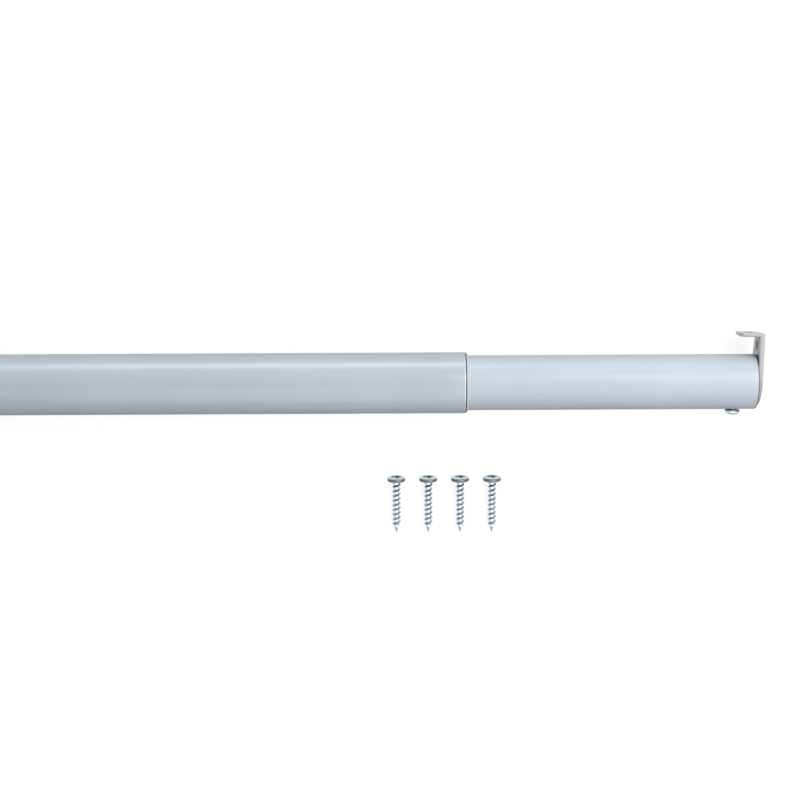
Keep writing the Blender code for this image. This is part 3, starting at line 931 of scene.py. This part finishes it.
def zinc_plate(name, size):
    """Bright bluish zinc: patchy tone, fine tooling marks, painted shade and a rougher face on crests,
    tip-facing flanks, rim, crown, recess and tip.
    """
    material, tree, shader = new_material(name, ZINC_SOCKETS)
    space = object_space(tree)
    patches = noise(tree, space["Object"], *ZINC_PATCHES)
    marks = noise(tree, space["Object"], *ZINC_MARKS)
    bright = tones(tree, blend_of(tree, patches, marks, MARK_SHARE), ZINC_DARK, ZINC_LIGHT)
    # Painted shade on crests, tip-facing flanks, rim, crown, recess and tip; the same mask makes these
    # rougher
    shade_and_dull = shade_and_dull_mask(tree, space, size)
    tree.links.new(colour_blend(tree, bright, (*ZINC_PAINTED_SHADE, 1.0), shade_and_dull), shader.inputs["Base Color"])
    roughness = blend_of(tree, spread_to(tree, marks, *ZINC_ROUGHNESS), DULL_ROUGHNESS, shade_and_dull)
    tree.links.new(roughness, shader.inputs["Roughness"])
    tree.links.new(bump(tree, marks, *ZINC_RELIEF), shader.inputs["Normal"])
    return material


def nylon(name):
    """Natural white nylon with a faint moulded grain."""
    material, tree, shader = new_material(name, NYLON_SOCKETS)
    place = object_space(tree)["Object"]
    clouds = noise(tree, place, *NYLON_CLOUDS)
    grain = noise(tree, place, *NYLON_GRAIN)
    tree.links.new(tones(tree, clouds, NYLON_DARK, NYLON_LIGHT), shader.inputs["Base Color"])
    tree.links.new(spread_to(tree, grain, *NYLON_ROUGHNESS), shader.inputs["Roughness"])
    tree.links.new(bump(tree, grain, *NYLON_RELIEF), shader.inputs["Normal"])
    return material


# Studio


def seen_ray(tree):
    """One for the rays that see the surroundings, straight or in a mirror or glass."""
    path = add_node(tree, "ShaderNodeLightPath").outputs
    direct = larger(tree, path["Is Camera Ray"], path["Is Glossy Ray"])
    return larger(tree, direct, path["Is Transmission Ray"])


def floor_material():
    """Grey paper that glows up to white where it is seen."""
    material = bpy.data.materials.new("white_floor")
    material.use_nodes = True
    tree = material.node_tree
    tree.nodes.clear()
    glow = rise(tree, seen_ray(tree), 0.0, 1.0, FLOOR_GLOW)
    light = add_node(tree, "ShaderNodeEmission", {"Strength": glow}).outputs[0]
    paper = add_node(tree, "ShaderNodeBsdfDiffuse", {"Color": (*FLOOR_COLOUR, 1.0)}).outputs[0]
    both = add_node(tree, "ShaderNodeAddShader", {0: light, 1: paper}).outputs[0]
    add_node(tree, "ShaderNodeOutputMaterial", {"Surface": both})
    return material


def make_floor(height):
    """Pale floor that shows white and keeps a soft shadow."""
    half = FLOOR_SIZE / 2
    work = bmesh.new()
    corners = [(-half, -half), (half, -half), (half, half), (-half, half)]
    work.faces.new([work.verts.new((x, y, height)) for x, y in corners])
    floor = make_object("floor", work)
    floor.data.materials.append(floor_material())


def make_world():
    """White surroundings in view and in the bright metal, which give little light of their own."""
    world = bpy.data.worlds.new("studio")
    world.use_nodes = True
    tree = world.node_tree
    levels = {"Value": seen_ray(tree), "To Min": WORLD_LIGHT, "To Max": WORLD_WHITE}
    strength = add_node(tree, "ShaderNodeMapRange", levels).outputs["Result"]
    tree.links.new(strength, tree.nodes["Background"].inputs["Strength"])
    tree.nodes["Background"].inputs["Color"].default_value = (1.0, 1.0, 1.0, 1.0)
    bpy.context.scene.world = world


def soft_box(name, place, aim, size, radiance):
    """Rectangular studio light at a place, turned to an aim."""
    lamp = bpy.data.lights.new(name, "AREA")
    lamp.shape = "RECTANGLE"
    lamp.size, lamp.size_y = size
    lamp.energy = radiance * math.pi * size[0] * size[1]
    item = bpy.data.objects.new(name, lamp)
    item.location = place
    item.rotation_euler = (Vector(aim) - Vector(place)).to_track_quat("-Z", "Y").to_euler()
    item.visible_camera = False
    bpy.context.scene.collection.objects.link(item)


def make_lights():
    """Large key and front boxes over the rod, and a low box and strip on the side of the tabs."""
    for name, box in SOFT_BOXES.items():
        soft_box(name, **box)


def make_camera():
    """Camera at the photograph's angle, focal length and roll."""
    back = Vector((0.0, math.sin(CAMERA_TILT), math.cos(CAMERA_TILT)))
    level_up = Vector((0.0, math.cos(CAMERA_TILT), -math.sin(CAMERA_TILT)))
    level_right = Vector((1.0, 0.0, 0.0))
    right = level_right * math.cos(CAMERA_ROLL) - level_up * math.sin(CAMERA_ROLL)
    up = level_up * math.cos(CAMERA_ROLL) + level_right * math.sin(CAMERA_ROLL)
    lens = bpy.data.cameras.new("camera")
    lens.sensor_width = SENSOR_WIDTH
    lens.lens = SENSOR_WIDTH * FOCAL_PIXELS / PHOTO_SIDE
    camera = bpy.data.objects.new("camera", lens)
    turn = Matrix((right, up, back)).transposed().to_4x4()
    camera.matrix_world = Matrix.Translation(CAMERA_TARGET + back * CAMERA_DISTANCE) @ turn
    bpy.context.scene.collection.objects.link(camera)
    bpy.context.scene.camera = camera


# Whole scene


def make_pieces():
    """Every fine piece, with its finish."""
    enamel = bracket_paint("bracket_paint")
    retaining_zinc = zinc_plate("retaining_zinc", RETAINING_SCREW)
    white = nylon("nylon")
    make_tube("outer_tube", tube_paint("outer_tube"), "low")
    make_tube("inner_tube", tube_paint("inner_tube"), "high")
    make_bush(white)
    guide = frame["nodes"]["tail_guide"]
    guide.data.materials.clear()
    guide.data.materials.append(white)
    for prefix in ("outer", "inner"):
        tube_radius = reach(prefix + "_tube")
        make_bracket(prefix, tube_radius, enamel)
        make_retaining_screw(prefix, tube_radius, retaining_zinc)
    make_mounting_screws(zinc_plate("mounting_zinc", MOUNTING_SCREW))


def main():
    """Dress the frame and set the studio up."""
    make_pieces()
    make_floor(CAD_BOX[0].z)
    make_world()
    make_lights()
    make_camera()
    bpy.context.scene.view_settings.view_transform = "Standard"


main()
